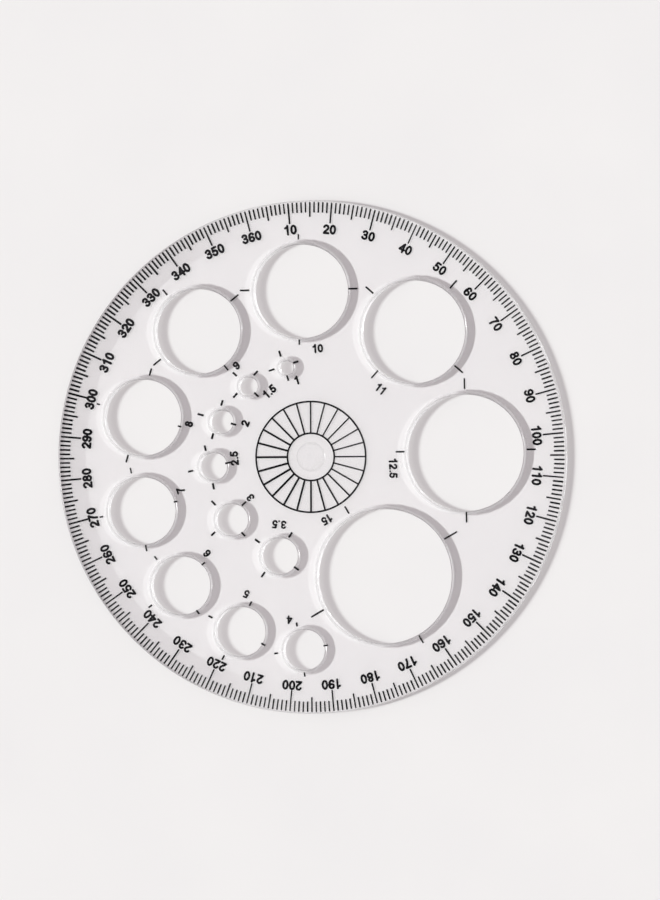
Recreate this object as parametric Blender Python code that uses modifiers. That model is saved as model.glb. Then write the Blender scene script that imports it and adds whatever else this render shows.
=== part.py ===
"""A clear round protractor with a circle template, 115 mm across.

One moulded plate carries sixteen template holes. Everything else is black print on its top face: the degree
scale round the rim, the numeral at every ten degrees, the rosette in the middle and the radius label of each
hole. Each print that is a body of its own is its own object, a film just above the plate.

Metres, +Z up. The origin is the plate's centre on its resting face. Bearings are in degrees, clockwise from +Y
as the scale counts them, so the 360 mark points along +Y.
"""

import math

import bmesh
import bpy

MM = 0.001

# The plate
PLATE_RADIUS = 57.5 * MM
PLATE_THICKNESS = 2 * MM
RIM_ROUND = 0.35 * MM
HOLE_ROUND = 0.7 * MM
ROUND_SEGMENTS = 3
RIM_SIDES = 180
GATE_MARK_RADIUS = 3.2 * MM
GATE_MARK_DEPTH = 0.12 * MM

# The template holes, named by the radius in millimetres that they draw
PENCIL_ROOM = 0.5 * MM
LARGE_RING = (10, 11, 12.5, 15, 4, 5, 6, 7, 8, 9)
LARGE_RING_EDGE = 47.75 * MM
LARGE_RING_START = 11.7
LARGEST = 15
LARGEST_RADIUS = 15 * MM
LARGEST_INSET = 1.3 * MM
SMALL_RING = {1: 359.5, 1.5: 333.3, 2: 306.7, 2.5: 280, 3: 247.2, 3.5: 213.1}
SMALL_RING_EDGE = 19.3 * MM
HOLE_FACET = 1.4 * MM

# The print
FILM_GAP = 0.01 * MM
FILM_THICKNESS = 0.04 * MM
SCALE_RADIUS = 57.15 * MM
SCALE_LINE = 0.36 * MM
SCALE_HAIRLINE = 0.1 * MM
TICK_LENGTH = {1: 2.4 * MM, 5: 3.35 * MM, 10: 4.75 * MM}
NUMERAL_STEP = 10
NUMERAL_RADIUS = 51.1 * MM
NUMERAL_HEIGHT = 2.1 * MM
NUMERAL_DIGIT_WIDTH = 1.5 * MM
ROSETTE_RADIUS = 12.6 * MM
ROSETTE_EYE = 5.1 * MM
ROSETTE_LINE = 0.28 * MM
ROSETTE_SPOKES = 24
LABEL_HEIGHT = 1.8 * MM
LABEL_DIGIT_WIDTH = 1.2 * MM
LABEL_POINT_WIDTH = 0.5 * MM

# How far each radius label lies clockwise of its hole's centre line, and inside the hole's edge, in millimetres
LABEL_PLACE = {
    1: (1.6, 1.9),
    1.5: (2.8, 2.1),
    2: (1.6, 2.7),
    2.5: (1.3, 2.0),
    3: (1.3, 2.9),
    3.5: (2.2, 2.7),
    4: (3.5, 2.1),
    5: (1.9, 2.8),
    6: (1.0, 2.8),
    7: (1.7, 2.3),
    8: (0.9, 2.1),
    9: (1.3, 2.2),
    10: (3.0, 2.6),
    11: (2.5, 3.0),
    12.5: (3.0, 3.2),
    15: (4.3, 2.6),
}


def clear_scene():
    """Start from an empty file without closing it."""
    for obj in list(bpy.data.objects):
        bpy.data.objects.remove(obj, do_unlink=True)


def new_collection(name):
    collection = bpy.data.collections.new(name)
    bpy.context.scene.collection.children.link(collection)
    return collection


def material(name, colour, roughness, transmission=0.0, alpha=1.0):
    mat = bpy.data.materials.new(name)
    mat.use_nodes = True
    shader = mat.node_tree.nodes["Principled BSDF"]
    shader.inputs["Base Color"].default_value = (*colour, 1.0)
    shader.inputs["Roughness"].default_value = roughness
    shader.inputs["Metallic"].default_value = 0.0
    shader.inputs["IOR"].default_value = 1.49
    shader.inputs["Transmission Weight"].default_value = transmission
    shader.inputs["Alpha"].default_value = alpha
    return mat


def on_bearing(radius, bearing):
    """The point at a distance from the centre, on a bearing."""
    angle = math.radians(bearing)
    return radius * math.sin(angle), radius * math.cos(angle)


# ---- the template's layout


def hole_radius(nominal):
    """A hole is wider than the circle that it draws, by the room that a pencil point takes."""
    if nominal == LARGEST:
        return LARGEST_RADIUS
    return nominal * MM + PENCIL_ROOM


def large_ring_distance(nominal):
    """The large holes share one outer edge circle; only the largest hole stands back from it."""
    inset = LARGEST_INSET if nominal == LARGEST else 0.0
    return LARGE_RING_EDGE - inset - hole_radius(nominal)


def bearing_step(first, second, web):
    """The angle between two neighbours of the large ring with a web of this width between them."""
    near, far = large_ring_distance(first), large_ring_distance(second)
    apart = hole_radius(first) + hole_radius(second) + web
    return math.degrees(math.acos((near**2 + far**2 - apart**2) / (2 * near * far)))


def closing_web():
    """The one web width with which the large ring's holes go round exactly once."""
    pairs = list(zip(LARGE_RING, LARGE_RING[1:] + LARGE_RING[:1]))
    narrow, wide = 3 * MM, 7 * MM
    for _ in range(50):
        middle = (narrow + wide) / 2
        if sum(bearing_step(a, b, middle) for a, b in pairs) > 360:
            wide = middle
        else:
            narrow = middle
    return middle


def template_holes():
    """Each hole as (nominal radius, distance from the centre, bearing)."""
    holes = []
    web = closing_web()
    bearing = LARGE_RING_START
    for nominal, following in zip(LARGE_RING, LARGE_RING[1:] + LARGE_RING[:1]):
        holes.append((nominal, large_ring_distance(nominal), bearing))
        bearing += bearing_step(nominal, following, web)
    for nominal, bearing in SMALL_RING.items():
        holes.append((nominal, SMALL_RING_EDGE + hole_radius(nominal), bearing))
    return holes


# ---- the plate


def turned_cutter(name, profile, sides, place, collection):
    """A closed turned cutter, from a profile of (radius, height) points that runs down its outer side."""
    mesh = bpy.data.meshes.new(name)
    edges = [(i, i + 1) for i in range(len(profile) - 1)]
    mesh.from_pydata([(radius, 0.0, height) for radius, height in profile], edges, [])
    cutter = bpy.data.objects.new(name, mesh)
    cutter.location = (*place, 0.0)
    cutter.hide_render = True
    cutter.display_type = "WIRE"
    collection.objects.link(cutter)
    screw = cutter.modifiers.new("turn", "SCREW")
    screw.steps = sides
    screw.render_steps = sides
    screw.use_merge_vertices = True
    screw.merge_threshold = 0.01 * MM
    return cutter


def flared_profile(radius, bottom, flare, segments):
    """Axis, overhang above the plate, the rounded upper edge, the straight wall, and the axis again."""
    overhang = 1 * MM
    top = PLATE_THICKNESS
    points = [(0.0, top + overhang), (radius + flare, top + overhang), (radius + flare, top)]
    for i in range(1, segments + 1):
        angle = math.pi / 2 * i / segments
        points.append((radius + flare * (1 - math.sin(angle)), top - flare * (1 - math.cos(angle))))
    points += [(radius, bottom), (0.0, bottom)]
    return points


def even_sides(radius):
    """Sides of a hole that keep its facets near one width, always a multiple of four."""
    return max(20, 4 * round(2 * math.pi * radius / HOLE_FACET / 4))


def build_cutters(collection):
    for nominal, distance, bearing in template_holes():
        radius = hole_radius(nominal)
        profile = flared_profile(radius, -1 * MM, HOLE_ROUND, ROUND_SEGMENTS)
        place = on_bearing(distance, bearing)
        turned_cutter(f"hole_{nominal}", profile, even_sides(radius), place, collection)
    bottom = PLATE_THICKNESS - GATE_MARK_DEPTH
    profile = flared_profile(GATE_MARK_RADIUS, bottom, GATE_MARK_DEPTH / 2, 1)
    turned_cutter("gate_mark", profile, 32, (0.0, 0.0), collection)


def build_plate(parts, cutters, clear):
    """A round blank, rounded on its upper rim, with the holes and the gate mark cut out of it."""
    mesh = bpy.data.meshes.new("disc")
    bm = bmesh.new()
    bmesh.ops.create_cone(
        bm,
        cap_ends=True,
        segments=RIM_SIDES,
        radius1=PLATE_RADIUS,
        radius2=PLATE_RADIUS,
        depth=PLATE_THICKNESS,
    )
    bmesh.ops.translate(bm, verts=bm.verts, vec=(0.0, 0.0, PLATE_THICKNESS / 2))
    weight = bm.edges.layers.float.new("bevel_weight_edge")
    for edge in bm.edges:
        if all(vertex.co.z > PLATE_THICKNESS / 2 for vertex in edge.verts):
            edge[weight] = 1.0
    bm.to_mesh(mesh)
    bm.free()
    disc = bpy.data.objects.new("disc", mesh)
    parts.objects.link(disc)
    disc.data.materials.append(clear)
    bevel = disc.modifiers.new("rim", "BEVEL")
    bevel.limit_method = "WEIGHT"
    bevel.width = RIM_ROUND
    bevel.segments = ROUND_SEGMENTS
    cut = disc.modifiers.new("holes", "BOOLEAN")
    cut.operation = "DIFFERENCE"
    cut.solver = "EXACT"
    cut.operand_type = "COLLECTION"
    cut.collection = cutters


# ---- the print


def film(name, outlines, parts, ink):
    """A flat film of print: the first outline is its edge, and the others are windows in it."""
    curve = bpy.data.curves.new(name, "CURVE")
    curve.dimensions = "2D"
    curve.fill_mode = "BOTH"
    curve.extrude = FILM_THICKNESS / 2
    for outline in outlines:
        spline = curve.splines.new("POLY")
        spline.points.add(len(outline) - 1)
        for point, (x, y) in zip(spline.points, outline):
            point.co = (x, y, 0.0, 1.0)
        spline.use_cyclic_u = True
    obj = bpy.data.objects.new(name, curve)
    obj.location.z = PLATE_THICKNESS + FILM_GAP + FILM_THICKNESS / 2
    parts.objects.link(obj)
    curve.materials.append(ink)
    return obj


def circle(radius, sides):
    return [on_bearing(radius, 360 * i / sides) for i in range(sides)]


def arc(radius, start, end, steps):
    return [on_bearing(radius, start + (end - start) * i / steps) for i in range(steps + 1)]


def across(width, radius):
    """The bearing that a width takes up at a radius."""
    return math.degrees(width / radius)


def tick_length(degree):
    if degree % 10 == 0:
        return TICK_LENGTH[10]
    if degree % 5 == 0:
        return TICK_LENGTH[5]
    return TICK_LENGTH[1]


def build_scale(parts, ink):
    """The 360 degree ticks as one comb, joined by a hairline along their outer ends."""
    root = SCALE_RADIUS - SCALE_HAIRLINE
    comb = []
    for degree in range(360):
        tip = SCALE_RADIUS - tick_length(degree)
        for radius, side in ((root, -1), (tip, -1), (tip, 1), (root, 1)):
            comb.append(on_bearing(radius, degree + side * across(SCALE_LINE / 2, radius)))
    film("degree_scale", [circle(SCALE_RADIUS, 360), comb], parts, ink)


def build_rosette(parts, ink):
    """Two rings and the spokes between them, as one film with windows."""
    outer = ROSETTE_RADIUS - ROSETTE_LINE
    inner = ROSETTE_EYE + ROSETTE_LINE
    step = 360 / ROSETTE_SPOKES
    outlines = [circle(ROSETTE_RADIUS, 96), circle(ROSETTE_EYE, 48)]
    for spoke in range(ROSETTE_SPOKES):
        start, end = spoke * step, (spoke + 1) * step
        far, near = across(ROSETTE_LINE / 2, outer), across(ROSETTE_LINE / 2, inner)
        outlines.append(arc(outer, start + far, end - far, 3) + arc(inner, end - near, start + near, 2))
    film("centre_rosette", outlines, parts, ink)


def printed_plate(name, width, height, place, bearing, parts, ink):
    """The film under one number, turned so that the number's top faces the rim."""
    half_width, half_height = width / 2, height / 2
    corners = [(-half_width, -half_height), (half_width, -half_height)]
    corners += [(half_width, half_height), (-half_width, half_height)]
    obj = film(name, [corners], parts, ink)
    obj.location.x, obj.location.y = place
    obj.rotation_euler.z = -math.radians(bearing)


def build_numerals(parts, ink):
    for degree in range(NUMERAL_STEP, 361, NUMERAL_STEP):
        width = NUMERAL_DIGIT_WIDTH * len(str(degree))
        place = on_bearing(NUMERAL_RADIUS, degree)
        printed_plate(f"numeral_{degree:03d}", width, NUMERAL_HEIGHT, place, degree, parts, ink)


def label_name(nominal):
    return "radius_label_" + str(nominal).replace(".", "_")


def build_labels(parts, ink):
    for nominal, distance, bearing in template_holes():
        sideways, inward = LABEL_PLACE[nominal]
        x, y = on_bearing(distance - hole_radius(nominal) - inward * MM, bearing)
        dx, dy = on_bearing(sideways * MM, bearing + 90)
        text = str(nominal)
        digits = len(text.replace(".", ""))
        width = LABEL_DIGIT_WIDTH * digits + LABEL_POINT_WIDTH * (len(text) - digits)
        printed_plate(label_name(nominal), width, LABEL_HEIGHT, (x + dx, y + dy), bearing, parts, ink)


def main():
    clear_scene()
    parts = new_collection("protractor")
    cutters = new_collection("cutters")
    clear = material("clear_plastic", (0.93, 0.94, 0.95), 0.06, transmission=0.9, alpha=0.35)
    ink = material("black_ink", (0.02, 0.02, 0.022), 0.5)
    build_cutters(cutters)
    build_plate(parts, cutters, clear)
    build_scale(parts, ink)
    build_rosette(parts, ink)
    build_numerals(parts, ink)
    build_labels(parts, ink)


main()
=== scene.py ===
"""The looks of a clear round protractor with a circle template, lying on a pale sheet.

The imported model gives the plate's size and the place of every number. This script makes the fine surface
of the plate, the print as separate strokes and digits, and the sheet, the light and the camera. Bearings are
in degrees, clockwise from +Y, as the scale counts them. Lengths are in metres.
"""

import math
import random

import bmesh
import bpy
import numpy as np
from mathutils import Matrix, Vector, noise


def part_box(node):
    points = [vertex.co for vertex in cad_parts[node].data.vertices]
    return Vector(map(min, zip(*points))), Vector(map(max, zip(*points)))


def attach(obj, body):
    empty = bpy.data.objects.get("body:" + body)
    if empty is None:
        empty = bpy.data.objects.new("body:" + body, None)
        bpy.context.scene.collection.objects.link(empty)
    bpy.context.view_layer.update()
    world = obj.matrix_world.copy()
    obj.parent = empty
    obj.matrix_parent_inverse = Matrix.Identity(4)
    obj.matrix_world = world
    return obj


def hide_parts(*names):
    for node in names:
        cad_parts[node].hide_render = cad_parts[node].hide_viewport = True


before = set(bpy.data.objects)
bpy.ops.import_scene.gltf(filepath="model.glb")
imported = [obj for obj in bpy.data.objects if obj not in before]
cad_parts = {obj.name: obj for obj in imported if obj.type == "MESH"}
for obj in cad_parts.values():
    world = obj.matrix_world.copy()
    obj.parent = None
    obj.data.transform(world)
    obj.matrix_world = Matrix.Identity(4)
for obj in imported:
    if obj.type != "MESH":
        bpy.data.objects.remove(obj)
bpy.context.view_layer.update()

MM = 0.001

# The template holes, as the CAD model has them, named by the radius in millimetres that they draw
PENCIL_ROOM = 0.5 * MM
LARGE_RING = (10, 11, 12.5, 15, 4, 5, 6, 7, 8, 9)
LARGE_RING_EDGE = 47.75 * MM
LARGE_RING_START = 11.7
LARGEST = 15
LARGEST_RADIUS = 15 * MM
LARGEST_INSET = 1.3 * MM
SMALL_RING = {1: 359.5, 1.5: 333.3, 2: 306.7, 2.5: 280, 3: 247.2, 3.5: 213.1}
SMALL_RING_EDGE = 19.3 * MM

# The plate's fine surface
RIM_ROUND = 0.35 * MM
HOLE_ROUND = 0.7 * MM
HOLE_DRAFT = 0.12 * MM
BOTTOM_ROUND = 0.06 * MM
GATE_MARK_RADIUS = 3.2 * MM
GATE_MARK_DEPTH = 0.12 * MM
GATE_MARK_SLOPE = 0.07 * MM
GATE_FLOOR_EDGE = 0.5 * MM
GATE_NUB_RADIUS = 0.55 * MM
GATE_NUB_TIP = 0.2

# Its steps, up each round and wall and round each circle. A hole's edge starts as matt as its wall.
BOTTOM_ROUND_STEPS = 3
WALL_STEPS = 4
ROUND_STEPS = 8
MATT_STEPS = 4
RIM_SIDES = 720
HOLE_FACET = 0.45 * MM
LEAST_HOLE_SIDES = 48
GATE_SIDES = 64

# The rings of points on the underside that hold the light pattern: how far each is from its wall, in mm. The
# two crowded holes stand too near their neighbours for the last two rings.
UNDERSIDE_RINGS = (0.15, 0.3, 0.45, 0.65, 0.85, 1.05, 1.3, 1.55, 1.75, 1.95, 2.1, 2.2, 2.3)
WIDE_UNDERSIDE_RINGS = UNDERSIDE_RINGS + (2.4, 2.48)
CROWDED = (2, 2.5)
RIM_UNDERSIDE_RINGS = UNDERSIDE_RINGS + (3.0, 4.0, 5.0, 5.6, 5.8, 5.95, 6.1, 6.25)

# The print
INK_GAP = 0.004 * MM
INK_THICKNESS = 0.012 * MM
WELD_DISTANCE = 0.001 * MM
HEAVY_BEARING = 320
HEAVIER_AT_ONE_END = 0.07
HEAVIER_AT_BOTH_ENDS = 0.09
SCALE_RADIUS = 57.15 * MM
TICK_LENGTH = {1: 2.4 * MM, 5: 3.35 * MM, 10: 4.75 * MM}
TICK_WIDTH = 0.385 * MM
NUMERAL_HEIGHT = 2.05 * MM
NUMERAL_SLIP = {200: 0.2 * MM, 270: 0.3 * MM, 300: 0.55 * MM}
LABEL_HEIGHT = 1.75 * MM
LABEL_TURN = {3.5: -14}
ROSETTE_RADIUS = 12.6 * MM
ROSETTE_EYE = 5.1 * MM
ROSETTE_LINE = 0.4 * MM
ROSETTE_SPOKES = 24
ROSETTE_HEAVY_BEARING = 250
ROSETTE_HEAVIER = 0.2
ROSETTE_RING_SIDES = (192, 96)
ROSETTE_ARC_STEPS = (8, 4)

# How uneven the print is: by which share a tick or a mark differs in length and in width, how its sides
# differ along it, and how wide its ends are left
TICK_UNEVEN = (0.015, 0.06)
MARK_UNEVEN = (0.08, 0.1)
SIDE_UNEVEN = 0.08
TICK_END_SLACK = 0.06 * MM
BAR_STATIONS = (0, 0.03, 0.5, 0.97, 1)
BAR_END_WIDTH = 0.6

# The digits, in heights of a digit
DIGIT_CELL = 0.62
DIGIT_ADVANCE = 0.7
POINT_ADVANCE = 0.36
DIGIT_WIDEN = 1.06
DIGIT_STROKE = 0.25
DIGIT_WOBBLE = 0.022
WOBBLES_IN_HEIGHT = 7
FIELD_STEP = 0.03

# The four centre marks of each hole, and their lengths along the hole's radial line and across it, in mm
MARK_START = 0.7 * MM
MARK_WIDTH = 0.38 * MM
SMALL_MARK_WIDTH = 0.46 * MM
MARK_LENGTH = {
    4: (0.95, 0.95),
    5: (1.2, 1.1),
    6: (0.95, 1.1),
    7: (0.8, 1.35),
    8: (0.8, 1.75),
    9: (1.6, 2.25),
    10: (1.3, 2.15),
    11: (2.35, 2.35),
    12.5: (2.0, 2.3),
    15: (2.0, 3.2),
}
SMALL_MARK_LENGTH = (1.35, 1.35)

# How far each hole's marks are printed off its middle, outward and clockwise in mm, and turned in degrees
MARK_SLIP = {
    1: (0.48, -0.36, -2),
    1.5: (0.75, -0.12, -5),
    2: (1.05, 0.1, -5.5),
    2.5: (0.85, -0.1, -7),
    3: (0.42, 0.62, -6),
    3.5: (-0.1, 0.62, 17),
    4: (-0.1, 0.75, -11),
    5: (0.1, 0.8, 5),
    6: (0.55, 0.72, 6),
    7: (0.6, 0.55, 6),
    8: (0.97, 0.25, 2),
    9: (0.45, -0.2, 3),
    10: (0.37, -0.4, 3),
    11: (0.48, -0.15, 2),
    12.5: (0.15, -0.47, 0.5),
    15: (-0.37, -0.15, 1.7),
}

# The view: the camera is almost straight above, rolled so that this bearing is up in the picture. It leans a
# little to the picture's right and aims a little right of and above the plate's centre, and the picture's
# height takes in this much of the plate's plane.
UP_BEARING = 15.26
CAMERA_DISTANCE = 1490 * MM
CAMERA_LEAN = (0.144, -0.02)
AIM_OFFSET = (4.04 * MM, 1.57 * MM)
VIEW_HEIGHT = 201.703 * MM
SENSOR = 36.0

# The light: a window low on the picture's left, whose light goes along this bearing, and a sky and a lamp
# overhead. Each rise is the sine of the height at which one of these begins, and at which it's full.
SUN_ELEVATION = 33.3
SUN_BEARING = UP_BEARING + 86
SUN_ANGLE = 9
SUN_STRENGTH = 3.13
SKY_RISE = (0.2, 1.0)
SKY_STRENGTH = (0.2, 0.52)
OVERHEAD_RISE = (0.92, 0.975)
OVERHEAD_STRENGTH = 1.65
SHEET_SIZE = 3.0
SHEET_DROP = 0.05 * MM

# How the plastic passes that light on, painted for the window light's one way: a pattern of painted shade
# and painted light on its underside and walls stands in for the light that it bends, traps at a side wall and
# loses a little at each face. A share of light that differs with a hole's width is given for a narrow hole
# and for a wide one.
IOR = 1.49
PLATE_PASSED = 0.84
WIDTHS_OF_LIGHT = (2 * MM, 9 * MM)
SHADE_PASSED = (0.52, 0.44)
FOOT_PASSED = (0.72, 0.6)
WALL_PASSED = (0.42, 0.3)
RIM_WALL_PASSED = (0.45, 0.15)
RIM_SHADE_PASSED = 0.6
# Painted shadow of the scale's ticks on the window's side; the print casts no shadow of its own
SCALE_SHADE = 0.15
PASSED_TINT = (1.0, 1.08, 1.05)

# Where that light pattern begins and ends
HOLE_SHADE_EDGE = (0.23 * MM, 0.4 * MM)
RIM_SHADE_EDGE = (0.15 * MM, 0.65 * MM)
RIM_LIGHT_EDGE = (0.35 * MM, 0.65 * MM)
SCALE_SHADE_EDGE = (51.3 * MM, 51.7 * MM)
HOLE_CLEAR_HEIGHT = 1.78 * MM
RIM_CLEAR_HEIGHT = 1.15 * MM
CLEAR_BLEND = 0.2 * MM
FOOT_HEIGHT = 0.9 * MM

# And on which sides: the cosine of the angle to the light's way at which each thing begins, and is full
WALL_DARK_SIDE = (-0.15, 0.25)
SCALE_SHADE_SIDE = (0.1, 0.6)
RIM_LIGHT_SIDE = (0.2, 0.7)
GATHERED_SIDE = (0.0, 0.5)
GATHERED_LEAST_FACING = 0.3

# Painted light beside each hole, on the window's side, for the light that its wall gathers under the plate:
# its share, by the distance from the wall in mm, and how much light passes where that share is whole, which
# is more than comes in there
GATHERED_DISTANCE = (0.0, 0.15, 0.9, 1.1, 1.3, 1.6, 1.9, 2.15, 2.3, 2.48)
GATHERED_SHARE = (0.0, 1.0, 1.0, 0.75, 0.6, 0.35, 0.3, 0.6, 0.5, 0.0)
GATHERED_PASSED = 1.1

random.seed(7)


def on_bearing(radius, bearing):
    """The point at a distance from the centre, on a bearing."""
    angle = math.radians(bearing)
    return Vector((radius * math.sin(angle), radius * math.cos(angle), 0.0))


# ---- the template's layout


def hole_radius(nominal):
    """A hole is wider than the circle that it draws, by the room that a pencil point takes."""
    if nominal == LARGEST:
        return LARGEST_RADIUS
    return nominal * MM + PENCIL_ROOM


def large_ring_distance(nominal):
    inset = LARGEST_INSET if nominal == LARGEST else 0.0
    return LARGE_RING_EDGE - inset - hole_radius(nominal)


def bearing_step(first, second, web):
    """The angle between two neighbours of the large ring with a web of this width between them."""
    near, far = large_ring_distance(first), large_ring_distance(second)
    apart = hole_radius(first) + hole_radius(second) + web
    return math.degrees(math.acos((near**2 + far**2 - apart**2) / (2 * near * far)))


def closing_web():
    """The one web width with which the large ring's holes go round exactly once."""
    pairs = list(zip(LARGE_RING, LARGE_RING[1:] + LARGE_RING[:1]))
    narrow, wide = 3 * MM, 7 * MM
    for _ in range(50):
        middle = (narrow + wide) / 2
        if sum(bearing_step(a, b, middle) for a, b in pairs) > 360:
            wide = middle
        else:
            narrow = middle
    return middle


def template_holes():
    """Each hole as (nominal radius, distance from the centre, bearing)."""
    holes = []
    web = closing_web()
    bearing = LARGE_RING_START
    for nominal, following in zip(LARGE_RING, LARGE_RING[1:] + LARGE_RING[:1]):
        holes.append((nominal, large_ring_distance(nominal), bearing))
        bearing += bearing_step(nominal, following, web)
    for nominal, bearing in SMALL_RING.items():
        holes.append((nominal, SMALL_RING_EDGE + hole_radius(nominal), bearing))
    return holes


# ---- materials


def node_material(name):
    mat = bpy.data.materials.new(name)
    mat.use_nodes = True
    mat.node_tree.nodes.clear()
    return mat


class Nodes:
    """Short calls for building a material's node tree."""

    def __init__(self, mat):
        self.tree = mat.node_tree

    def add(self, kind, **settings):
        node = self.tree.nodes.new(kind)
        for key, value in settings.items():
            setattr(node, key, value)
        return node

    def link(self, source, target):
        self.tree.links.new(source, target)

    def noise(self, scale, detail=2.0, roughness=0.5, stretch=None, turn=0):
        """Noise in the object's own space; stretch is the scale along each axis, and turn is in degrees."""
        texture = self.add("ShaderNodeTexNoise")
        texture.inputs["Scale"].default_value = scale
        texture.inputs["Detail"].default_value = detail
        texture.inputs["Roughness"].default_value = roughness
        place = self.add("ShaderNodeTexCoord").outputs["Object"]
        if stretch:
            mapping = self.add("ShaderNodeMapping")
            mapping.inputs["Scale"].default_value = stretch
            mapping.inputs["Rotation"].default_value = (0, 0, math.radians(turn))
            self.link(place, mapping.inputs["Vector"])
            place = mapping.outputs["Vector"]
        self.link(place, texture.inputs["Vector"])
        return texture.outputs["Fac"]

    def spread(self, source, low, high, out_low=0.0, out_high=1.0):
        """A value from low to high, spread from out_low to out_high."""
        node = self.add("ShaderNodeMapRange")
        node.inputs["From Min"].default_value = low
        node.inputs["From Max"].default_value = high
        node.inputs["To Min"].default_value = out_low
        node.inputs["To Max"].default_value = out_high
        self.link(source, node.inputs["Value"])
        return node.outputs["Result"]

    def maths(self, operation, first, second):
        node = self.add("ShaderNodeMath", operation=operation)
        for socket, value in zip(node.inputs, (first, second)):
            if isinstance(value, (int, float)):
                socket.default_value = value
            else:
                self.link(value, socket)
        return node.outputs[0]

    def ramp(self, share, first, last):
        """A colour between two."""
        node = self.add("ShaderNodeValToRGB")
        node.color_ramp.elements[0].color = first
        node.color_ramp.elements[1].color = last
        self.link(share, node.inputs["Fac"])
        return node.outputs["Color"]

    def bump(self, height, strength, distance):
        node = self.add("ShaderNodeBump")
        node.inputs["Strength"].default_value = strength
        node.inputs["Distance"].default_value = distance
        self.link(height, node.inputs["Height"])
        return node.outputs["Normal"]

    def mixed(self, share, first, second):
        """Two shaders mixed; the share of the second is a number or a socket."""
        node = self.add("ShaderNodeMixShader")
        if isinstance(share, (int, float)):
            node.inputs["Fac"].default_value = share
        else:
            self.link(share, node.inputs["Fac"])
        self.link(first, node.inputs[1])
        self.link(second, node.inputs[2])
        return node.outputs["Shader"]

    def finish(self, shader):
        self.link(shader, self.add("ShaderNodeOutputMaterial").inputs["Surface"])


def polished_glass(nodes, roughness):
    """What the eye sees of the plastic: a polished face, a little wavy, with two sets of scratches."""
    glass = nodes.add("ShaderNodeBsdfPrincipled")
    glass.inputs["Base Color"].default_value = (0.985, 0.985, 0.99, 1.0)
    glass.inputs["IOR"].default_value = IOR
    glass.inputs["Transmission Weight"].default_value = 1.0
    hairlines = nodes.spread(nodes.noise(300, 3, 0.6, (1, 40, 1), 25), 0.68, 0.74)
    crossing = nodes.spread(nodes.noise(260, 3, 0.6, (40, 1, 1), 65), 0.69, 0.75)
    scratches = nodes.maths("MAXIMUM", hairlines, crossing)
    waviness = nodes.maths("MULTIPLY", nodes.noise(45, 1), 0.6)
    height = nodes.maths("SUBTRACT", waviness, nodes.maths("MULTIPLY", scratches, 0.02))
    nodes.link(nodes.bump(height, 0.06, 0.0002), glass.inputs["Normal"])
    polish = nodes.spread(nodes.noise(170, 1), 0.4, 0.6, *roughness)
    dulled = nodes.maths("ADD", polish, nodes.maths("MULTIPLY", scratches, 0.14))
    nodes.link(dulled, glass.inputs["Roughness"])
    return glass.outputs["BSDF"]


def light_filter(nodes):
    """What the plastic does to light that falls through: it passes the share that the mesh holds, a painted
    pattern of shade and light, tinted.

    Light that meets a face from the inside passes whole, so that each share is taken only once.
    """
    pattern = nodes.add("ShaderNodeAttribute", attribute_name=PASSED)
    from_inside = nodes.add("ShaderNodeNewGeometry").outputs["Backfacing"]
    share = nodes.maths("MAXIMUM", pattern.outputs["Fac"], from_inside)
    tint = nodes.add("ShaderNodeCombineColor")
    for socket, power in zip(tint.inputs, PASSED_TINT):
        nodes.link(nodes.maths("POWER", share, power), socket)
    clear = nodes.add("ShaderNodeBsdfTransparent")
    nodes.link(tint.outputs["Color"], clear.inputs["Color"])
    return clear.outputs["BSDF"]


def clear_plastic(name, roughness, mattness, matt_kind):
    """Clear plastic, partly matt: roughness is a range, and mattness the share of the matt shader."""
    mat = node_material(name)
    nodes = Nodes(mat)
    matt = nodes.add(matt_kind)
    matt.inputs["Color"].default_value = (0.9, 0.89, 0.9, 1.0)
    surface = nodes.mixed(mattness, polished_glass(nodes, roughness), matt.outputs["BSDF"])
    path = nodes.add("ShaderNodeLightPath")
    is_light = nodes.maths("MAXIMUM", path.outputs["Is Shadow Ray"], path.outputs["Is Diffuse Ray"])
    nodes.finish(nodes.mixed(is_light, surface, light_filter(nodes)))
    return mat


def ink_material():
    """Matt black print, a little thin in patches, with the grain of the screen it was pressed through."""
    mat = node_material("black_ink")
    nodes = Nodes(mat)
    shader = nodes.add("ShaderNodeBsdfPrincipled")
    patches = nodes.spread(nodes.noise(120, 2), 0.35, 0.75)
    grain = nodes.spread(nodes.noise(5200, 2, 0.7), 0.45, 0.8)
    tone = nodes.maths("ADD", nodes.maths("MULTIPLY", patches, 0.6), nodes.maths("MULTIPLY", grain, 0.5))
    colour = nodes.ramp(tone, (0.004, 0.004, 0.005, 1), (0.035, 0.033, 0.036, 1))
    nodes.link(colour, shader.inputs["Base Color"])
    nodes.link(nodes.spread(grain, 0, 1, 0.5, 0.75), shader.inputs["Roughness"])
    nodes.link(nodes.bump(grain, 0.3, 0.00001), shader.inputs["Normal"])
    shader.inputs["Specular IOR Level"].default_value = 0.02
    nodes.finish(shader.outputs["BSDF"])
    return mat


def sheet_material():
    """Plain pale paper with a very faint mottle."""
    mat = node_material("sheet")
    nodes = Nodes(mat)
    shader = nodes.add("ShaderNodeBsdfPrincipled")
    mottle = nodes.spread(nodes.noise(28, 3), 0.3, 0.7)
    colour = nodes.ramp(mottle, (0.80, 0.787, 0.785, 1), (0.82, 0.807, 0.80, 1))
    nodes.link(colour, shader.inputs["Base Color"])
    shader.inputs["Roughness"].default_value = 0.9
    shader.inputs["Specular IOR Level"].default_value = 0.1
    nodes.finish(shader.outputs["BSDF"])
    return mat


# ---- the plate

# The mesh attribute that holds the painted pattern of how much light passes at each point, and the way that
# the light goes
PASSED = "light_passed"
LIGHT_WAY = on_bearing(1, SUN_BEARING)

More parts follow.
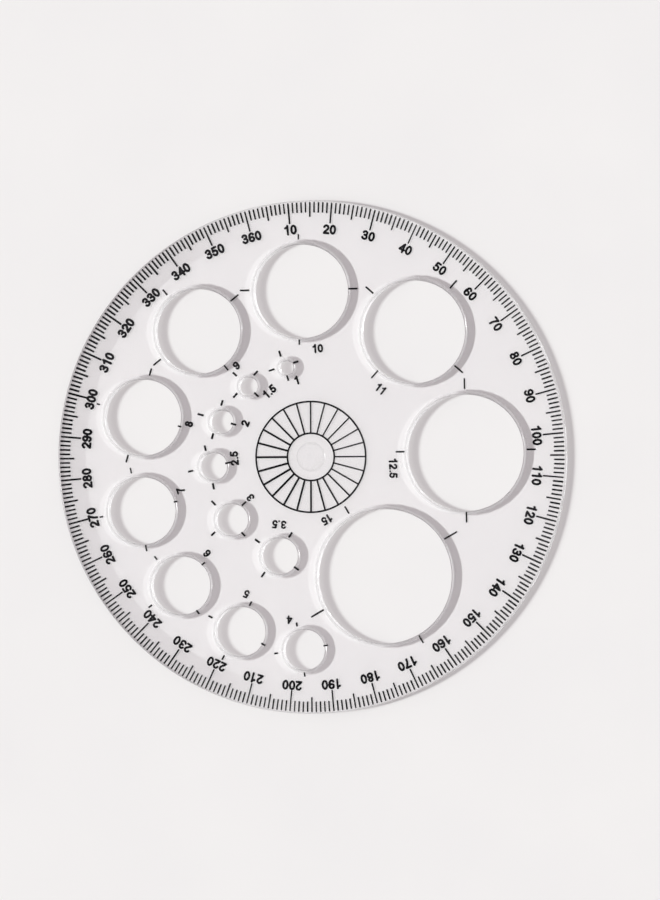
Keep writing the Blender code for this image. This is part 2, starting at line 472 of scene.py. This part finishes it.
# The parts of the plate's surface, and each one's finish: roughness range, share of matt and kind of matt
FACE, HOLE_EDGE, HOLE_WALL, RIM, GATE = range(5)
PLASTIC_OF_PART = (
    ("face", (0.01, 0.02), 0.0, "ShaderNodeBsdfTranslucent"),
    ("edge", (0.15, 0.5), 0.2, "ShaderNodeBsdfDiffuse"),
    ("wall", (0.15, 0.25), 0.6, "ShaderNodeBsdfTranslucent"),
    ("rim", (0.15, 0.4), 0.25, "ShaderNodeBsdfTranslucent"),
    ("gate", (0.12, 0.3), 0.06, "ShaderNodeBsdfTranslucent"),
)


def ease(value, start, end):
    """A smooth step from 0 at start to 1 at end."""
    share = min(max((value - start) / (end - start), 0), 1)
    return share * share * (3 - 2 * share)


def holes_and_light():
    """Each hole as (radius, centre, rings round it, light in its shade, by its foot and above that).

    A wide hole's shade is deeper than a narrow one's, which its round edge lights from all sides.
    """
    holes = []
    for nominal, distance, bearing in template_holes():
        radius = hole_radius(nominal)
        rings = UNDERSIDE_RINGS if nominal in CROWDED else WIDE_UNDERSIDE_RINGS
        shares = (SHADE_PASSED, FOOT_PASSED, WALL_PASSED)
        light = [float(np.interp(radius, WIDTHS_OF_LIGHT, narrow_and_wide)) for narrow_and_wide in shares]
        holes.append((radius, on_bearing(distance, bearing), rings, *light))
    return holes


HOLES = holes_and_light()


def light_by_rim(point, entry, rim):
    """The painted share of light that leaves the underside at a point, but for what the holes do to it:
    painted shade inside the rim and under the scale on the window's side, and painted light along the far
    rim.
    """
    past_rim = ease(entry.length - rim, *RIM_SHADE_EDGE)
    along = point.normalized().dot(LIGHT_WAY)
    # Painted shadow of the scale's ticks, on the window's side
    under_scale = ease(point.length, *SCALE_SHADE_EDGE) * ease(-along, *SCALE_SHADE_SIDE)
    passed = PLATE_PASSED * (1 - (1 - RIM_SHADE_PASSED) * past_rim) * (1 - SCALE_SHADE * under_scale)
    # Painted light along the far rim, where the light leaves the plate
    at_far_rim = (1 - ease(rim - point.length, *RIM_LIGHT_EDGE)) * ease(along, *RIM_LIGHT_SIDE)
    return passed + (GATHERED_PASSED - passed) * at_far_rim


def light_through(point, thickness, rim):
    """The share of light that leaves the underside at a point.

    It is painted for the window light's one way: painted shade where the light would have come in by a hole
    or by the rim, and painted light where a wall would have gathered it.
    """
    bend = math.asin(math.cos(math.radians(SUN_ELEVATION)) / IOR)
    entry = point - LIGHT_WAY * thickness * math.tan(bend)
    passed = light_by_rim(point, entry, rim)
    for radius, centre, rings, shade, _, _ in HOLES:
        out = point - centre
        beyond = out.length - radius
        near = 1 - ease(beyond, rings[-2] * MM, rings[-1] * MM)
        from_hole = 1 - ease((entry - centre).length - radius - HOLE_ROUND, *HOLE_SHADE_EDGE)
        passed *= 1 - (1 - shade) * from_hole * near
        facing = -out.normalized().dot(LIGHT_WAY)
        if facing > 0:
            distance = beyond / MM / max(facing, GATHERED_LEAST_FACING)
            gathered = float(np.interp(distance, GATHERED_DISTANCE, GATHERED_SHARE))
            passed += (GATHERED_PASSED - passed) * gathered * ease(facing, *GATHERED_SIDE) * near
    return passed


def wall_light(side, height, clear_height, foot, higher):
    """The share of light that passes a wall at one height, as a function of the bearing that it stands on.

    The side is 1 on the rim and -1 in a hole. The wall's shadow is painted for the window light's one way:
    it is darkest where the light comes out of the wall, up to the height at which it's clear.
    """
    clear = ease(height, clear_height - CLEAR_BLEND, clear_height + CLEAR_BLEND)
    least = foot + (higher - foot) * ease(height, 0, FOOT_HEIGHT)

    def passed(bearing):
        leaving = side * on_bearing(1, bearing).dot(LIGHT_WAY)
        return 1 - (1 - least) * ease(leaving, *WALL_DARK_SIDE) * (1 - clear)

    return passed


def wall_section(thickness, top_round, draft, underside, wall_part, edge_part):
    """A wall's section from the underside to the top face, as (distance from the foot, height, part).

    The distance is into the plate. The part is that of the band of faces that ends at the point.
    """
    section = [(step * MM, 0.0, FACE) for step in reversed(underside)]
    section.append((BOTTOM_ROUND, 0.0, FACE))
    for k in range(1, BOTTOM_ROUND_STEPS + 1):
        turn = math.pi / 2 * k / BOTTOM_ROUND_STEPS
        away, height = BOTTOM_ROUND * (1 - math.sin(turn)), BOTTOM_ROUND * (1 - math.cos(turn))
        section.append((away, height, wall_part))
    straight = thickness - top_round - BOTTOM_ROUND
    for k in range(1, WALL_STEPS):
        section.append((draft * k / WALL_STEPS, BOTTOM_ROUND + straight * k / WALL_STEPS, wall_part))
    for k in range(ROUND_STEPS + 1):
        turn = math.pi / 2 * k / ROUND_STEPS
        away = draft + top_round * (1 - math.cos(turn))
        height = thickness - top_round * (1 - math.sin(turn))
        section.append((away, height, wall_part if k <= MATT_STEPS else edge_part))
    return section


class PlateMesh:
    """A flat plate built up from rings of points: its rounds and walls are bands of faces between them."""

    def __init__(self, bottom, top, rim):
        self.bm = bmesh.new()
        self.passed = self.bm.verts.layers.float.new(PASSED)
        self.bottom = bottom
        self.top = top
        self.rim = rim
        self.top_edges = []
        self.bottom_edges = []

    def ring(self, centre, radius, height, sides, passed=None):
        """Points round a centre. The light that each passes follows its bearing, or else its place."""
        ring = []
        for i in range(sides):
            bearing = 360 * i / sides
            point = centre + on_bearing(radius, bearing)
            vert = self.bm.verts.new((point.x, point.y, height))
            if passed is None:
                vert[self.passed] = light_through(point, self.top - self.bottom, self.rim)
            else:
                vert[self.passed] = passed(bearing)
            ring.append(vert)
        return ring

    def band(self, lower, upper, outward, part, smooth=True):
        """The strip of faces between two rings; outward is whether it faces away from their centre."""
        for i in range(len(lower)):
            j = (i + 1) % len(lower)
            corners = (lower[i], upper[i], upper[j], lower[j])
            face = self.bm.faces.new(corners if outward else corners[::-1])
            face.smooth = smooth
            face.material_index = part

    def edges_of(self, ring):
        return [self.bm.edges.get(ends) for ends in zip(ring, ring[1:] + ring[:1])]

    def wall(self, centre, radius, sides, outward, top_round, draft, underside, light):
        """A round wall, the rim's or a hole's, with its rounded edges and the underside along it.

        The light is the height from which the wall is clear and what passes by its foot and above that.
        """
        side = 1 if outward else -1
        parts = (RIM, RIM) if outward else (HOLE_WALL, HOLE_EDGE)
        section = wall_section(self.top - self.bottom, top_round, draft, underside, *parts)
        rings = []
        for away, height, _ in section:
            passed = wall_light(side, height, *light) if height > 0 else None
            rings.append(self.ring(centre, radius - side * away, self.bottom + height, sides, passed))
        for lower, upper, (_, _, part) in zip(rings, rings[1:], section[1:]):
            self.band(lower, upper, outward, part, part != FACE)
        self.bottom_edges += self.edges_of(rings[0])
        self.top_edges += self.edges_of(rings[-1])

    def gate_mark(self):
        """The trace of the moulding gate in the middle of the top face: a shallow dish with a low nub."""
        section = [
            (GATE_MARK_RADIUS + GATE_MARK_SLOPE, 0.0),
            (GATE_MARK_RADIUS, 0.5),
            (GATE_MARK_RADIUS - GATE_MARK_SLOPE, 0.9),
            (GATE_MARK_RADIUS - GATE_FLOOR_EDGE, 1.0),
            (GATE_NUB_RADIUS * 2, 1.0),
            (GATE_NUB_RADIUS, 0.7),
            (GATE_NUB_RADIUS / 2, 0.25),
        ]
        rings = []
        for reach, sunk in section:
            height = self.top - GATE_MARK_DEPTH * sunk
            rings.append(self.ring(Vector((0, 0, 0)), reach, height, GATE_SIDES, lambda bearing: 1.0))
        for outer, inner in zip(rings, rings[1:]):
            self.band(outer, inner, True, GATE)
        tip = self.bm.verts.new((0, 0, self.top - GATE_MARK_DEPTH * GATE_NUB_TIP))
        tip[self.passed] = 1.0
        last = rings[-1]
        for here, there in zip(last, last[1:] + last[:1]):
            face = self.bm.faces.new([here, tip, there])
            face.smooth = True
            face.material_index = GATE
        self.top_edges += self.edges_of(rings[0])

    def fill(self, edges, facing):
        """Fills the flat face between edges, facing up (1) or down (-1)."""
        filled = bmesh.ops.triangle_fill(self.bm, edges=edges, use_beauty=True, normal=(0, 0, facing))
        for item in filled["geom"]:
            if isinstance(item, bmesh.types.BMFace):
                item.normal_update()
                if item.normal.z * facing < 0:
                    item.normal_flip()

    def finish(self, name):
        self.fill(self.bottom_edges, -1)
        self.fill(self.top_edges, 1)
        mesh = bpy.data.meshes.new(name)
        self.bm.to_mesh(mesh)
        self.bm.free()
        obj = bpy.data.objects.new(name, mesh)
        bpy.context.scene.collection.objects.link(obj)
        return obj


def build_plate():
    low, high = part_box("disc")
    rim = (high.x - low.x) / 2
    plate = PlateMesh(low.z, high.z, rim)
    middle = Vector((0, 0, 0))
    light = (RIM_CLEAR_HEIGHT, *RIM_WALL_PASSED)
    plate.wall(middle, rim, RIM_SIDES, True, RIM_ROUND, 0.0, RIM_UNDERSIDE_RINGS, light)
    for radius, centre, rings, _, foot, higher in HOLES:
        sides = max(LEAST_HOLE_SIDES, 4 * round(math.tau * radius / HOLE_FACET / 4))
        light = (HOLE_CLEAR_HEIGHT, foot, higher)
        plate.wall(centre, radius, sides, False, HOLE_ROUND, HOLE_DRAFT, rings, light)
    plate.gate_mark()
    obj = plate.finish("clear_plate")
    for name, roughness, mattness, matt_kind in PLASTIC_OF_PART:
        obj.data.materials.append(clear_plastic("clear_plastic_" + name, roughness, mattness, matt_kind))
    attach(obj, "root")
    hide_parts("disc")


# ---- the print's digits


def sweep(cx, cy, rx, ry, start, end, steps=14):
    """Points along an ellipse, from one angle to another, anticlockwise from +X in degrees."""
    points = []
    for i in range(steps + 1):
        angle = math.radians(start + (end - start) * i / steps)
        points.append((cx + rx * math.cos(angle), cy + ry * math.sin(angle)))
    return points


def turned_over(strokes):
    """The strokes turned half round in their cell."""
    return [[(DIGIT_CELL - x, 1 - y) for x, y in stroke] for stroke in strokes]


def digit_strokes():
    """The centre lines of each digit, in a cell one unit high."""
    six = [sweep(0.31, 0.305, 0.225, 0.225, 0, 360), sweep(0.34, 0.46, 0.255, 0.46, 42, 200)]
    two_bowl = sweep(0.31, 0.685, 0.215, 0.235, 168, -30)
    three_top = sweep(0.29, 0.715, 0.2, 0.205, 160, -75)
    three_low = sweep(0.29, 0.3, 0.225, 0.22, 85, -165)
    five_bowl = sweep(0.29, 0.335, 0.23, 0.255, 128, -160)
    return {
        "0": [sweep(0.31, 0.5, 0.225, 0.42, 0, 360, 24)],
        "1": [[(0.39, 0.03), (0.39, 0.97)], [(0.39, 0.93), (0.3, 0.81), (0.15, 0.73)]],
        "2": [two_bowl + [(0.37, 0.4), (0.2, 0.25), (0.1, 0.08), (0.56, 0.08)]],
        "3": [three_top + [(0.24, 0.525)], three_low],
        "4": [[(0.44, 0.03), (0.44, 0.93), (0.07, 0.3), (0.59, 0.3)]],
        "5": [[(0.53, 0.92), (0.18, 0.92), (0.12, 0.52)] + five_bowl],
        "6": six,
        "7": [[(0.06, 0.92), (0.56, 0.92), (0.38, 0.62), (0.27, 0.33), (0.23, 0.03)]],
        "8": [sweep(0.31, 0.725, 0.185, 0.195, 0, 360), sweep(0.31, 0.295, 0.225, 0.22, 0, 360)],
        "9": turned_over(six),
        ".": [[(0.16, 0.08), (0.18, 0.08)]],
    }


def number_strokes(text, digits):
    """The strokes of a whole number, centred on the origin, one unit high, and how wide it is."""
    strokes = []
    pen = 0.0
    for character in text:
        for stroke in digits[character]:
            strokes.append([((pen + x) * DIGIT_WIDEN, y - 0.5) for x, y in stroke])
        pen += POINT_ADVANCE if character == "." else DIGIT_ADVANCE
    width = (pen - DIGIT_ADVANCE + DIGIT_CELL) * DIGIT_WIDEN
    return [[(x - width / 2, y) for x, y in stroke] for stroke in strokes], width


def distance_to_strokes(strokes, xs, ys):
    """The distance from each grid point to the nearest stroke."""
    grid_x, grid_y = np.meshgrid(xs, ys, indexing="ij")
    nearest = np.full(grid_x.shape, 9.0)
    for stroke in strokes:
        for (ax, ay), (bx, by) in zip(stroke, stroke[1:]):
            run_x, run_y = bx - ax, by - ay
            along = ((grid_x - ax) * run_x + (grid_y - ay) * run_y) / (run_x**2 + run_y**2)
            along = np.clip(along, 0, 1)
            reach = np.hypot(grid_x - ax - along * run_x, grid_y - ay - along * run_y)
            nearest = np.minimum(nearest, reach)
    return nearest


def outlines_of(field, xs, ys):
    """The closed lines round the part of a grid where the field is below zero."""
    inside = field < 0
    corners = (inside[:-1, :-1], inside[1:, :-1], inside[1:, 1:], inside[:-1, 1:])
    total = sum(corner.astype(int) for corner in corners)
    onward = {}
    for i, j in zip(*np.nonzero((total > 0) & (total < 4))):
        around = [(i, j), (i + 1, j), (i + 1, j + 1), (i, j + 1)]
        leaving, entering = [], []
        for k in range(4):
            here, there = around[k], around[(k + 1) % 4]
            if inside[here] and not inside[there]:
                leaving.append((k, (here, there)))
            elif inside[there] and not inside[here]:
                entering.append((k, (there, here)))
        for k, edge in leaving:
            onward[edge] = min(entering, key=lambda item: (item[0] - k) % 4)[1]
    lines = []
    while onward:
        edge = next(iter(onward))
        line = []
        while edge in onward:
            (i, j), (m, n) = edge
            share = field[i, j] / (field[i, j] - field[m, n])
            line.append((xs[i] + (xs[m] - xs[i]) * share, ys[j] + (ys[n] - ys[j]) * share))
            edge = onward.pop(edge)
        lines.append(line)
    return lines


def printed_outlines(strokes, width, stroke):
    """The outlines of a number's strokes as a pen of one width would print them, a little uneven."""
    reach_x = width / 2 + DIGIT_STROKE
    reach_y = 0.5 + DIGIT_STROKE
    xs = np.arange(-reach_x, reach_x, FIELD_STEP)
    ys = np.arange(-reach_y, reach_y, FIELD_STEP)
    field = distance_to_strokes(strokes, xs, ys) - stroke / 2
    seed = Vector((random.uniform(0, 90), random.uniform(0, 90), 0))
    for i, x in enumerate(xs):
        for j, y in enumerate(ys):
            if abs(field[i, j]) < 2 * FIELD_STEP:
                field[i, j] += DIGIT_WOBBLE * noise.noise(Vector((x, y, 0)) * WOBBLES_IN_HEIGHT + seed)
    return outlines_of(field, xs, ys)


# ---- the print


def printed(name, outlines, top, ink, replaced=None):
    """A film of ink on the top face: filled outlines, with windows where one lies inside another."""
    curve = bpy.data.curves.new(name, "CURVE")
    curve.dimensions = "2D"
    curve.fill_mode = "BOTH"
    curve.extrude = INK_THICKNESS / 2
    for outline in outlines:
        spline = curve.splines.new("POLY")
        spline.points.add(len(outline) - 1)
        for point, place in zip(spline.points, outline):
            point.co = (place[0], place[1], 0.0, 1.0)
        spline.use_cyclic_u = True
    flat = bpy.data.objects.new(name, curve)
    bpy.context.scene.collection.objects.link(flat)
    depsgraph = bpy.context.evaluated_depsgraph_get()
    mesh = bpy.data.meshes.new_from_object(flat.evaluated_get(depsgraph))
    bpy.data.objects.remove(flat)
    bpy.data.curves.remove(curve)
    bm = bmesh.new()
    bm.from_mesh(mesh)
    bmesh.ops.remove_doubles(bm, verts=bm.verts, dist=WELD_DISTANCE)
    bmesh.ops.translate(bm, verts=bm.verts, vec=(0, 0, top + INK_GAP + INK_THICKNESS / 2))
    for face in bm.faces:
        face.smooth = False
    bm.to_mesh(mesh)
    bm.free()
    obj = bpy.data.objects.new(name, mesh)
    bpy.context.scene.collection.objects.link(obj)
    mesh.materials.clear()
    mesh.materials.append(ink)
    obj.visible_shadow = False
    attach(obj, "root")
    if replaced:
        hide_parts(replaced)


def circle(radius, sides):
    return [on_bearing(radius, 360 * i / sides) for i in range(sides)]


def arc(radius, start, end, steps):
    return [on_bearing(radius, start + (end - start) * i / steps) for i in range(steps + 1)]


def across(width, radius):
    """The bearing that a width takes up at a radius."""
    return math.degrees(width / radius)


def uneven(share):
    """A factor near 1 that differs by up to this share."""
    return random.uniform(1 - share, 1 + share)


def bar(start, end, width):
    """The outline of a printed bar, its sides a little uneven and its ends narrower."""
    run = end - start
    side = Vector((-run.y, run.x, 0)).normalized() * width / 2
    outline = []
    for shares, out in ((BAR_STATIONS, -1), (BAR_STATIONS[::-1], 1)):
        for share in shares:
            squeeze = BAR_END_WIDTH if share in (0, 1) else uneven(SIDE_UNEVEN)
            outline.append(start + run * share + side * out * squeeze)
    return outline


def heaviness(bearing):
    """How heavily the ink lies on a bearing: it is pressed harder along one line, most at one end of it."""
    angle = math.radians(bearing - HEAVY_BEARING)
    return 1 + HEAVIER_AT_ONE_END * math.cos(angle) + HEAVIER_AT_BOTH_ENDS * math.cos(2 * angle)


def build_scale(top, ink):
    bars = []
    for degree in range(360):
        kind = 10 if degree % 10 == 0 else 5 if degree % 5 == 0 else 1
        length = TICK_LENGTH[kind] * uneven(TICK_UNEVEN[0])
        width = TICK_WIDTH * heaviness(degree) * uneven(TICK_UNEVEN[1])
        outer = SCALE_RADIUS - random.uniform(0, TICK_END_SLACK)
        bars.append(bar(on_bearing(outer, degree), on_bearing(SCALE_RADIUS - length, degree), width))
    printed("scale_ticks", bars, top, ink, "degree_scale")


def build_rosette(top, ink):
    """Two rings with spokes between them: a disc of ink, with an eye and a window between each two spokes."""
    outer = ROSETTE_RADIUS - ROSETTE_LINE
    inner = ROSETTE_EYE + ROSETTE_LINE
    step = 360 / ROSETTE_SPOKES
    outer_sides, inner_sides = ROSETTE_RING_SIDES
    outer_steps, inner_steps = ROSETTE_ARC_STEPS
    outlines = [circle(ROSETTE_RADIUS, outer_sides), circle(ROSETTE_EYE, inner_sides)]
    for spoke in range(ROSETTE_SPOKES):
        start, end = spoke * step, (spoke + 1) * step
        heavier = ROSETTE_HEAVIER * math.cos(math.radians(start - ROSETTE_HEAVY_BEARING))
        half_line = ROSETTE_LINE * (1 + heavier) / 2
        far, near = across(half_line, outer), across(half_line, inner)
        window = arc(outer, start + far, end - far, outer_steps)
        window += arc(inner, end - near, start + near, inner_steps)
        outlines.append(window)
    printed("rosette", outlines, top, ink, "centre_rosette")


def build_number(name, text, node, height, bearing, digits, top, ink, slip=0.0, tilt=0.0):
    """One number in place of its plain CAD film, standing on the film's middle with its top to the rim."""
    low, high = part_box(node)
    middle = (low + high) / 2 + on_bearing(slip, bearing)
    strokes, width = number_strokes(text, digits)
    lines = printed_outlines(strokes, width, DIGIT_STROKE * (0.5 + heaviness(bearing) / 2))
    turn = Matrix.Rotation(-math.radians(bearing + tilt), 3, "Z")
    outlines = [[middle + turn @ Vector((x, y, 0)) * height for x, y in line] for line in lines]
    printed(name, outlines, top, ink, node)


def build_numerals(digits, top, ink):
    for degree in range(10, 361, 10):
        name, node = f"number_{degree:03d}", f"numeral_{degree:03d}"
        slip = NUMERAL_SLIP.get(degree, 0.0)
        build_number(name, str(degree), node, NUMERAL_HEIGHT, degree, digits, top, ink, slip=slip)


def in_name(nominal):
    return str(nominal).replace(".", "_")


def build_labels(digits, top, ink):
    for nominal, _, bearing in template_holes():
        name, node = "hole_number_" + in_name(nominal), "radius_label_" + in_name(nominal)
        tilt = LABEL_TURN.get(nominal, 0.0)
        build_number(name, str(nominal), node, LABEL_HEIGHT, bearing, digits, top, ink, tilt=tilt)


def build_marks(top, ink):
    """Four short lines round each hole, which point at the middle of the circle that it draws."""
    for nominal, distance, bearing in template_holes():
        outward, clockwise, turn = MARK_SLIP[nominal]
        slip = on_bearing(outward * MM, bearing) + on_bearing(clockwise * MM, bearing + 90)
        centre = on_bearing(distance, bearing) + slip
        start = hole_radius(nominal) + MARK_START
        lengths = MARK_LENGTH.get(nominal, SMALL_MARK_LENGTH)
        usual_width = SMALL_MARK_WIDTH if nominal in SMALL_RING else MARK_WIDTH
        bars = []
        for quarter in range(4):
            heading = bearing + turn + 90 * quarter
            end = start + lengths[quarter % 2] * MM * uneven(MARK_UNEVEN[0])
            width = usual_width * uneven(MARK_UNEVEN[1])
            bars.append(bar(centre + on_bearing(start, heading), centre + on_bearing(end, heading), width))
        printed("centre_marks_" + in_name(nominal), bars, top, ink)


def build_print():
    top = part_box("disc")[1].z
    ink = ink_material()
    digits = digit_strokes()
    build_scale(top, ink)
    build_rosette(top, ink)
    build_numerals(digits, top, ink)
    build_labels(digits, top, ink)
    build_marks(top, ink)


# ---- the stage


def build_sheet():
    bpy.ops.mesh.primitive_plane_add(size=SHEET_SIZE, location=(0, 0, -SHEET_DROP))
    sheet = bpy.context.object
    sheet.name = "sheet"
    sheet.data.materials.append(sheet_material())


def picture_axes():
    """The picture's right and up, on the plate."""
    return on_bearing(1, UP_BEARING + 90), on_bearing(1, UP_BEARING)


def build_camera():
    right, up = picture_axes()
    aim = right * AIM_OFFSET[0] + up * AIM_OFFSET[1]
    lean_x, lean_y = CAMERA_LEAN
    back = right * lean_x + up * lean_y
    back.z = math.sqrt(1 - lean_x**2 - lean_y**2)
    data = bpy.data.cameras.new("camera")
    data.sensor_width = SENSOR
    data.lens = CAMERA_DISTANCE * SENSOR / VIEW_HEIGHT
    data.clip_start = 10 * MM
    camera = bpy.data.objects.new("camera", data)
    bpy.context.scene.collection.objects.link(camera)
    camera.location = aim + back * CAMERA_DISTANCE
    x_axis = up.cross(back).normalized()
    y_axis = back.cross(x_axis)
    camera.rotation_euler = Matrix((x_axis, y_axis, back)).transposed().to_euler()
    bpy.context.scene.camera = camera


def build_sun():
    """The light of the window."""
    elevation = math.radians(SUN_ELEVATION)
    towards = -LIGHT_WAY * math.cos(elevation)
    towards.z = math.sin(elevation)
    sun = bpy.data.lights.new("sun", "SUN")
    sun.energy = SUN_STRENGTH
    sun.angle = math.radians(SUN_ANGLE)
    sun.color = (0.985, 1.0, 0.99)
    obj = bpy.data.objects.new("sun", sun)
    obj.rotation_euler = towards.to_track_quat("Z", "Y").to_euler()
    bpy.context.scene.collection.objects.link(obj)


def build_room():
    """A pale room, dimmer towards the floor, with a soft lamp overhead that the plate gives back."""
    world = bpy.data.worlds.new("room")
    world.use_nodes = True
    bpy.context.scene.world = world
    nodes = Nodes(world)
    background = world.node_tree.nodes["Background"]
    split = nodes.add("ShaderNodeSeparateXYZ")
    nodes.link(nodes.add("ShaderNodeTexCoord").outputs["Generated"], split.inputs["Vector"])
    sky = nodes.spread(split.outputs["Z"], *SKY_RISE, *SKY_STRENGTH)
    overhead = nodes.spread(split.outputs["Z"], *OVERHEAD_RISE, 0, OVERHEAD_STRENGTH)
    nodes.link(nodes.maths("ADD", sky, overhead), background.inputs["Strength"])
    background.inputs["Color"].default_value = (1.0, 0.97, 0.985, 1)
    bpy.context.scene.view_settings.view_transform = "Standard"


build_camera()
build_plate()
build_print()
build_sheet()
build_sun()
build_room()
